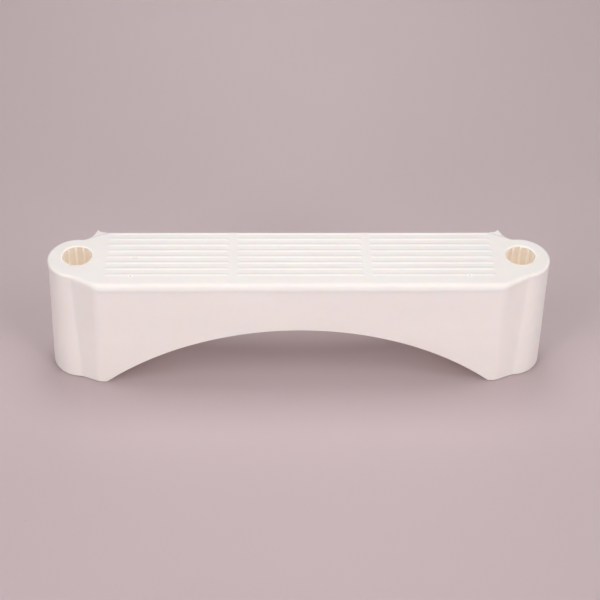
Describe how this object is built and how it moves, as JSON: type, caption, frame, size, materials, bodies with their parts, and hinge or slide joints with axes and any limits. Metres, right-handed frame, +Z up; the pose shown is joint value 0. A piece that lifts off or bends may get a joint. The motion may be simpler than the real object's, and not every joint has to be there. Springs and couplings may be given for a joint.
{
  "type": "bath bench segment",
  "caption": "Arched moulded bench segment with a ribbed anti-slip deck, a deep front apron, and a vertical through socket for a tubular post in the round barrel at each end.",
  "frame": {"origin": "centre of the bounding box's bottom face: on the floor, midway between the ends and between the front apron and the rear lugs", "axes": "+X along the bench, +Z up out of the sockets, the front apron faces -Y"},
  "size_m": [0.5094, 0.088, 0.1356],
  "materials": {
    "deck_plastic": "warm off-white polypropylene, satin, fine moulded texture",
    "body_plastic": "warm off-white polypropylene, satin",
    "panel_plastic": "warm off-white polypropylene, satin",
    "sleeve_plastic": "natural off-white nylon, satin",
    "pad_rubber": "grey-black non-marking rubber, matt",
    "screw_steel": "zinc plated steel"
  },
  "bodies": {
    "root": {"deck_panel": "deck_plastic", "body_shell": "body_plastic", "rear_panel": "panel_plastic", "left_socket_sleeve": "sleeve_plastic", "right_socket_sleeve": "sleeve_plastic", "left_front_foot_pad": "pad_rubber", "left_rear_foot_pad": "pad_rubber", "left_outer_foot_pad": "pad_rubber", "right_front_foot_pad": "pad_rubber", "right_rear_foot_pad": "pad_rubber", "right_outer_foot_pad": "pad_rubber", "deck_screws": "screw_steel", "rear_panel_screws": "screw_steel"}
  },
  "joints": []
}
